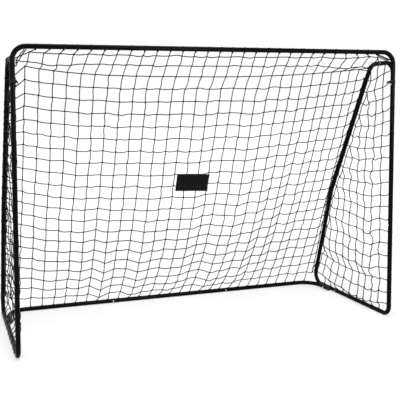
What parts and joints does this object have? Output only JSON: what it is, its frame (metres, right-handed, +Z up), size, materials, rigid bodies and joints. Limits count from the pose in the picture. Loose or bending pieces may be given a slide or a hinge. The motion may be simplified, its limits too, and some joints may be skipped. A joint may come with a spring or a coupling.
{
  "type": "garden football goal",
  "caption": "Free-standing garden goal: plug-together round steel tube frame with press-button joints and a knotted cord net over its top, back and sides.",
  "frame": {"origin": "on the ground, under the centre of the frame", "axes": "+X to the right as one looks into the mouth, +Y from the mouth to the back, +Z up"},
  "size_m": [2.1366, 0.8018, 1.52],
  "materials": {
    "tube_black": "gloss black powder coat on steel tube",
    "net_cord": "black twisted polyethylene cord, knotted",
    "strap_webbing": "black hook-and-loop webbing",
    "label_cloth": "bare black coated cloth with a stitched edge",
    "cap_plastic": "black moulded polyethylene",
    "zinc_steel": "zinc-plated steel",
    "button_steel": "zinc-plated pressed button",
    "spring_steel": "bent spring-steel strip"
  },
  "bodies": {
    "root": {"crossbar_middle": "tube_black", "rear_bar_middle": "tube_black", "net_top": "net_cord", "net_back_upper": "net_cord", "net_back_lower": "net_cord", "net_label": "label_cloth", "crossbar_corner_left": "tube_black", "crossbar_corner_right": "tube_black", "post_upper_left": "tube_black", "post_upper_right": "tube_black", "post_lower_left": "tube_black", "post_lower_right": "tube_black", "stay_upper_left": "tube_black", "stay_upper_right": "tube_black", "stay_lower_left": "tube_black", "stay_lower_right": "tube_black", "rear_bar_corner_left": "tube_black", "rear_bar_corner_right": "tube_black", "rear_foot_bolt_left": "zinc_steel", "rear_foot_bolt_right": "zinc_steel", "rear_foot_nut_left": "zinc_steel", "rear_foot_nut_right": "zinc_steel", "rear_leg_cap_left": "cap_plastic", "rear_leg_cap_right": "cap_plastic", "net_strap_post_left": "strap_webbing", "net_strap_post_right": "strap_webbing", "net_strap_stay_left": "strap_webbing", "net_strap_stay_right": "strap_webbing", "net_side_left": "net_cord", "net_side_right": "net_cord", "leaf_springs_left": "spring_steel", "leaf_springs_right": "spring_steel"},
    "button_crossbar_left": {"snap_button_crossbar_left": "button_steel"},
    "button_crossbar_right": {"snap_button_crossbar_right": "button_steel"},
    "button_corner_left": {"snap_button_corner_left": "button_steel"},
    "button_corner_right": {"snap_button_corner_right": "button_steel"},
    "button_post_left": {"snap_button_post_left": "button_steel"},
    "button_post_right": {"snap_button_post_right": "button_steel"},
    "button_branch_left": {"snap_button_branch_left": "button_steel"},
    "button_branch_right": {"snap_button_branch_right": "button_steel"},
    "button_stay_left": {"snap_button_stay_left": "button_steel"},
    "button_stay_right": {"snap_button_stay_right": "button_steel"},
    "button_ground_left": {"snap_button_ground_left": "button_steel"},
    "button_ground_right": {"snap_button_ground_right": "button_steel"},
    "button_rear_bar_left": {"snap_button_rear_bar_left": "button_steel"},
    "button_rear_bar_right": {"snap_button_rear_bar_right": "button_steel"}
  },
  "joints": [
    {"name": "press_crossbar_left", "type": "slide", "parent": "root", "child": "button_crossbar_left", "axis": [0, 0, 1], "range_m": [0, 0.0035], "stiffness_N_per_m": 1500, "springref_m": -0.001, "deforming": ["leaf_springs_left"]},
    {"name": "press_crossbar_right", "type": "slide", "parent": "root", "child": "button_crossbar_right", "axis": [0, 0, 1], "range_m": [0, 0.0035], "stiffness_N_per_m": 1500, "springref_m": -0.001, "deforming": ["leaf_springs_right"]},
    {"name": "press_corner_left", "type": "slide", "parent": "root", "child": "button_corner_left", "axis": [-1, 0, 0], "range_m": [0, 0.0035], "stiffness_N_per_m": 1500, "springref_m": -0.001, "deforming": ["leaf_springs_left"]},
    {"name": "press_corner_right", "type": "slide", "parent": "root", "child": "button_corner_right", "axis": [1, 0, 0], "range_m": [0, 0.0035], "stiffness_N_per_m": 1500, "springref_m": -0.001, "deforming": ["leaf_springs_right"]},
    {"name": "press_post_left", "type": "slide", "parent": "root", "child": "button_post_left", "axis": [-1, 0, 0], "range_m": [0, 0.0035], "stiffness_N_per_m": 1500, "springref_m": -0.001, "deforming": ["leaf_springs_left"]},
    {"name": "press_post_right", "type": "slide", "parent": "root", "child": "button_post_right", "axis": [1, 0, 0], "range_m": [0, 0.0035], "stiffness_N_per_m": 1500, "springref_m": -0.001, "deforming": ["leaf_springs_right"]},
    {"name": "press_branch_left", "type": "slide", "parent": "root", "child": "button_branch_left", "axis": [-1, 0, 0], "range_m": [0, 0.0035], "stiffness_N_per_m": 1500, "springref_m": -0.001, "deforming": ["leaf_springs_left"]},
    {"name": "press_branch_right", "type": "slide", "parent": "root", "child": "button_branch_right", "axis": [1, 0, 0], "range_m": [0, 0.0035], "stiffness_N_per_m": 1500, "springref_m": -0.001, "deforming": ["leaf_springs_right"]},
    {"name": "press_stay_left", "type": "slide", "parent": "root", "child": "button_stay_left", "axis": [0, -0.8937, -0.4486], "range_m": [0, 0.0035], "stiffness_N_per_m": 1500, "springref_m": -0.001, "deforming": ["leaf_springs_left"]},
    {"name": "press_stay_right", "type": "slide", "parent": "root", "child": "button_stay_right", "axis": [0, -0.8937, -0.4486], "range_m": [0, 0.0035], "stiffness_N_per_m": 1500, "springref_m": -0.001, "deforming": ["leaf_springs_right"]},
    {"name": "press_ground_left", "type": "slide", "parent": "root", "child": "button_ground_left", "axis": [-1, 0, 0], "range_m": [0, 0.0035], "stiffness_N_per_m": 1500, "springref_m": -0.001, "deforming": ["leaf_springs_left"]},
    {"name": "press_ground_right", "type": "slide", "parent": "root", "child": "button_ground_right", "axis": [1, 0, 0], "range_m": [0, 0.0035], "stiffness_N_per_m": 1500, "springref_m": -0.001, "deforming": ["leaf_springs_right"]},
    {"name": "press_rear_bar_left", "type": "slide", "parent": "root", "child": "button_rear_bar_left", "axis": [0, 1, 0], "range_m": [0, 0.0035], "stiffness_N_per_m": 1500, "springref_m": -0.001, "deforming": ["leaf_springs_left"]},
    {"name": "press_rear_bar_right", "type": "slide", "parent": "root", "child": "button_rear_bar_right", "axis": [0, 1, 0], "range_m": [0, 0.0035], "stiffness_N_per_m": 1500, "springref_m": -0.001, "deforming": ["leaf_springs_right"]}
  ]
}
